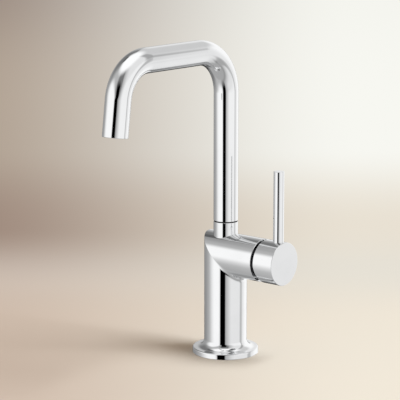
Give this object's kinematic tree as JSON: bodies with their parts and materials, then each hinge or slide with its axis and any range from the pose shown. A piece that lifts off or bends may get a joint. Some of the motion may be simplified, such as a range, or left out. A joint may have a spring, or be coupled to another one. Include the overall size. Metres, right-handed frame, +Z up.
{
  "type": "gooseneck bar faucet",
  "caption": "Deck-mounted single-lever bar faucet: slim upright column with a side hub and rod lever, and a swivelling spout of bent tube that ends in a hidden aerator.",
  "frame": {"origin": "centre of the foot's underside, on the deck", "axes": "+Z up the column, -Y towards the outlet and the user, +X along the hub towards the lever"},
  "size_m": [0.105, 0.2025, 0.3585],
  "materials": {
    "chrome": "polished chrome plate on brass and tube",
    "brass": "turned, unplated",
    "steel": "turned stainless steel",
    "rubber": "smooth black rubber",
    "white_plastic": "moulded",
    "grey_plastic": "moulded",
    "red_plastic": "moulded",
    "ceramic": "lapped alumina ceramic"
  },
  "bodies": {
    "base": {"body": "chrome", "deck_gasket": "rubber", "mounting_shank": "brass", "fixing_gasket": "rubber", "fixing_washer": "steel", "fixing_nut": "brass", "inlet_block": "brass", "block_screw": "steel", "block_seals": "rubber", "spout_post": "brass", "swivel_washer": "rubber", "lower_o_ring": "rubber", "upper_o_ring": "rubber", "glide_ring": "white_plastic", "cartridge_base": "grey_plastic", "port_seals": "rubber", "disc_seals": "rubber", "fixed_disc": "ceramic", "cartridge_housing": "white_plastic", "retaining_nut": "brass", "trim_dome": "steel"},
    "temperature": {"rotary_collar": "grey_plastic", "pivot_pin": "steel", "limit_ring": "red_plastic"},
    "handle": {"stem_lever": "steel", "handle_cap": "chrome", "lever_rod": "chrome", "grub_screw": "steel"},
    "disc": {"disc_carrier": "white_plastic", "moving_disc": "ceramic"},
    "spout": {"spout_tube": "chrome", "spout_sleeve": "brass", "retaining_ring": "steel", "outlet_sleeve": "brass", "aerator_body": "grey_plastic", "aerator_screen": "grey_plastic", "aerator_insert": "white_plastic", "aerator_seal": "rubber"}
  },
  "joints": [
    {"name": "spout_swivel", "type": "hinge", "parent": "base", "child": "spout", "pos_m": [0, 0, 0.132], "axis": [0, 0, 1], "continuous": true},
    {"name": "temperature_turn", "type": "hinge", "parent": "base", "child": "temperature", "pos_m": [0.034, 0, 0.0995], "axis": [1, 0, 0], "range_deg": [-45, 45]},
    {"name": "flow_tilt", "type": "hinge", "parent": "temperature", "child": "handle", "pos_m": [0.034, 0, 0.0995], "axis": [0, 1, 0], "range_deg": [0, 16]},
    {"name": "disc_slide", "type": "slide", "parent": "temperature", "child": "disc", "axis": [0, 0, 1], "range_m": [0, 0.00252]}
  ],
  "couplings": [
    {"joint": "disc_slide", "follows": "flow_tilt", "m_per_rad": 0.009}
  ]
}
